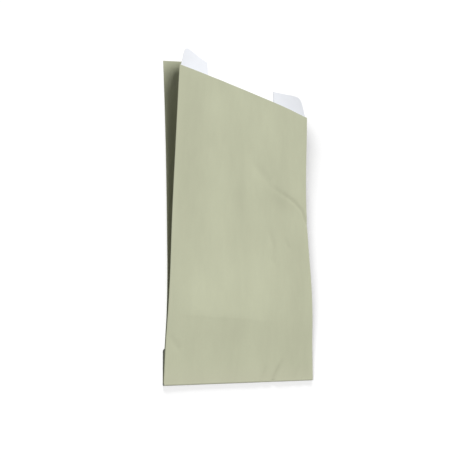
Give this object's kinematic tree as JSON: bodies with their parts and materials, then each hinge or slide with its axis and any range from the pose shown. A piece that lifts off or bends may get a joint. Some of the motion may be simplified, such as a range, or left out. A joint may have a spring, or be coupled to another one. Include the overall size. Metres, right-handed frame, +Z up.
{
  "type": "flat bottom paper bag",
  "caption": "Side gusset paper bag folded flat, with a low-cut front, gusset tabs at the mouth and its bottom end folded under the back.",
  "frame": {"origin": "on the floor under the middle of the bag's box, where it lies on its back panel", "axes": "+X across the width to the right as the front panel is seen, +Y along the length towards the mouth, +Z up out of the front panel"},
  "size_m": [0.17, 0.32, 0.0358],
  "materials": {
    "paper": "matt uncoated, sage green outside and white inside"
  },
  "bodies": {
    "root": {"paper_bag": "paper"}
  },
  "joints": []
}
